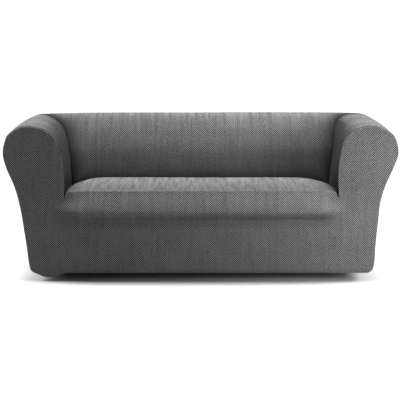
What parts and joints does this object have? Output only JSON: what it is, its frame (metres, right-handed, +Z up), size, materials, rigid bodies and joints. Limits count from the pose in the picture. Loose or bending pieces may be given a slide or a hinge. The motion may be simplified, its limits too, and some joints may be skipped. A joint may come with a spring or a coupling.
{
  "type": "sofa slipcover",
  "caption": "Fitted stretch slipcover for a rolled-arm sofa, with arm, seat, back and skirt panels sewn together over a hollow open at the bottom.",
  "frame": {"origin": "on the underside of the cloth at the middle of the back's crest, where the top rail of the sofa's frame carries the cover", "axes": "+X to the right as seen from the front, along the seat; +Y towards the rear, so the front faces -Y; +Z up"},
  "size_m": [2.0065, 0.8673, 0.788],
  "materials": {
    "charcoal_knit": "matte charcoal herringbone stretch knit"
  },
  "bodies": {
    "root": {"front_panel": "charcoal_knit", "seat_panel": "charcoal_knit", "inside_back_panel": "charcoal_knit", "outside_back_panel": "charcoal_knit", "arm_panel_left": "charcoal_knit", "arm_panel_right": "charcoal_knit"}
  },
  "joints": []
}
